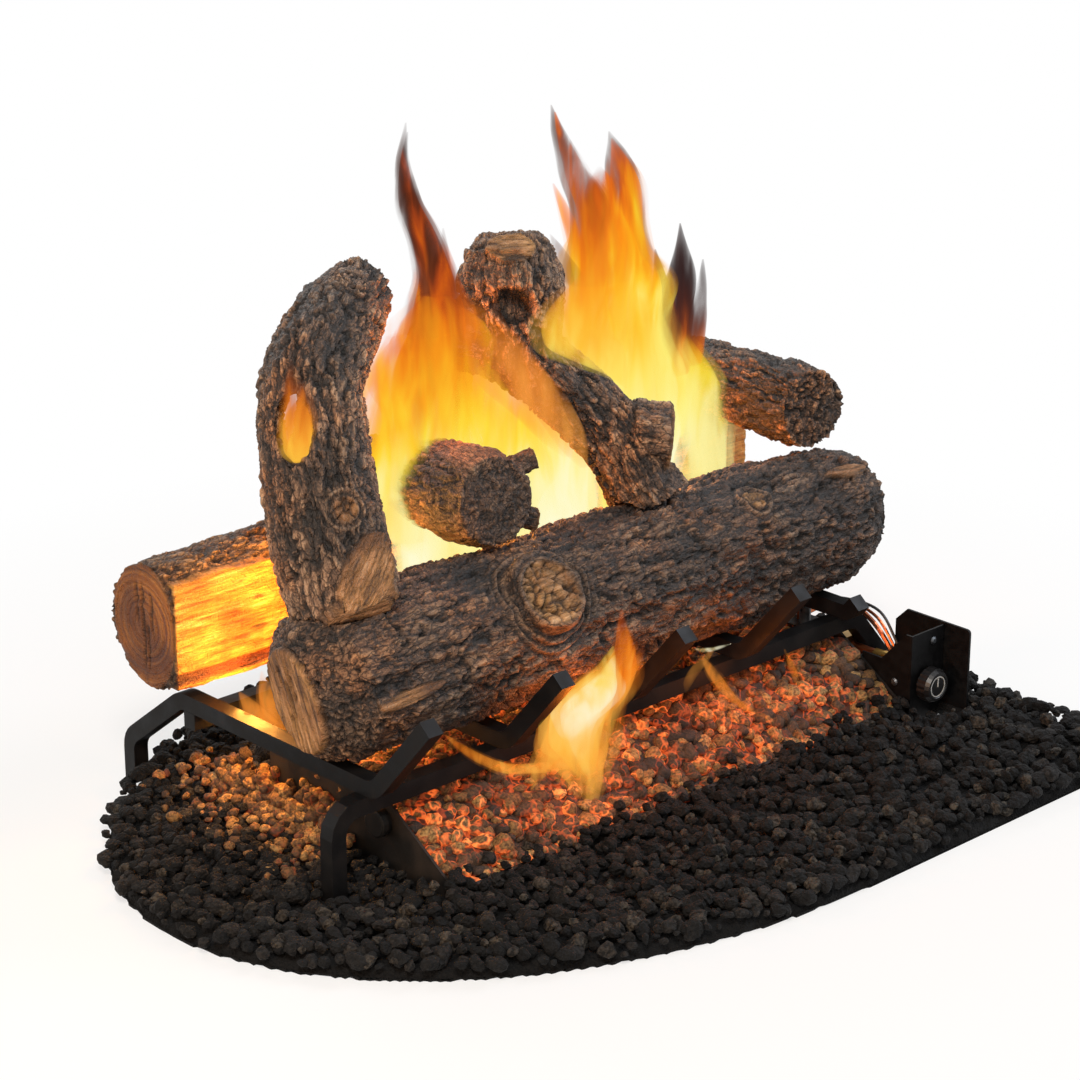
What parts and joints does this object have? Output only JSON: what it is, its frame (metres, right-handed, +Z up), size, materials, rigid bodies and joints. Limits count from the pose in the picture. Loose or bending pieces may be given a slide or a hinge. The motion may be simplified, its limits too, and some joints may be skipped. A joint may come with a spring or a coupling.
{
  "type": "gas log set",
  "caption": "Gas log set: ceramic logs on a bar grate over a burner pan of embers in a lava rock bed, with a side valve that turns and pushes in.",
  "frame": {"origin": "middle of the lava rock bed's box at the surface it stands on", "axes": "+Z up, -Y to the front that the knob faces, +X to the valve's end"},
  "size_m": [0.93, 0.72, 0.5119],
  "materials": {
    "lava_rock": "matt crushed lava",
    "grate_steel": "heat-proof black paint on square bar",
    "log_bark": "refractory ceramic painted as bark",
    "log_split": "refractory ceramic painted as split wood",
    "pan_steel": "heat-proof black paint, dulled",
    "sand": "loose dry sand",
    "ember": "glowing mineral embers",
    "brass": "machined brass",
    "zinc": "zinc-plated steel",
    "knob_plastic": "moulded black knob",
    "cover_steel": "black powder coat on folded sheet",
    "copper": "drawn copper tube",
    "pipe_steel": "corrosion-proof gas tube",
    "porcelain": "glazed porcelain",
    "lead_rubber": "black insulated lead"
  },
  "bodies": {
    "root": {"lava_rock_bed": "lava_rock", "grate_front_rail": "grate_steel", "grate_rear_rail": "grate_steel", "grate_bar_1": "grate_steel", "grate_bar_2": "grate_steel", "grate_bar_3": "grate_steel", "grate_bar_4": "grate_steel", "grate_bar_5": "grate_steel", "front_log": "log_bark", "rear_log": "log_split", "left_top_log": "log_bark", "centre_branch_log": "log_bark", "small_branch_log": "log_bark", "right_top_log": "log_bark", "burner_pan": "pan_steel", "burner_tube": "pan_steel", "burner_end_cap": "pan_steel", "sand_fill": "sand", "ember_bed": "ember", "valve_body": "brass", "stem_bushing": "zinc", "valve_cover": "cover_steel", "valve_bracket": "cover_steel", "cover_screw_front": "zinc", "cover_screw_side": "zinc", "bracket_screw_1": "zinc", "bracket_screw_2": "zinc", "burner_elbow": "brass", "feed_nut": "brass", "feed_tube": "copper", "supply_nut": "brass", "gas_supply_tube": "pipe_steel", "gas_inlet_nut": "brass", "pilot_bracket": "cover_steel", "pilot_burner": "zinc", "thermocouple": "copper", "spark_electrode": "porcelain", "pilot_tube": "copper", "thermocouple_lead": "copper", "spark_lead": "lead_rubber"},
    "plug": {"valve_plug": "brass"},
    "knob": {"valve_stem": "zinc", "control_knob": "knob_plastic"}
  },
  "joints": [
    {"name": "knob_turn", "type": "hinge", "parent": "root", "child": "plug", "pos_m": [0.363, -0.134, 0.042], "axis": [0, -1, 0], "range_deg": [-180, 0]},
    {"name": "knob_push", "type": "slide", "parent": "plug", "child": "knob", "axis": [0, 1, 0], "range_m": [0, 0.004], "stiffness_N_per_m": 800, "springref_m": -0.002}
  ]
}
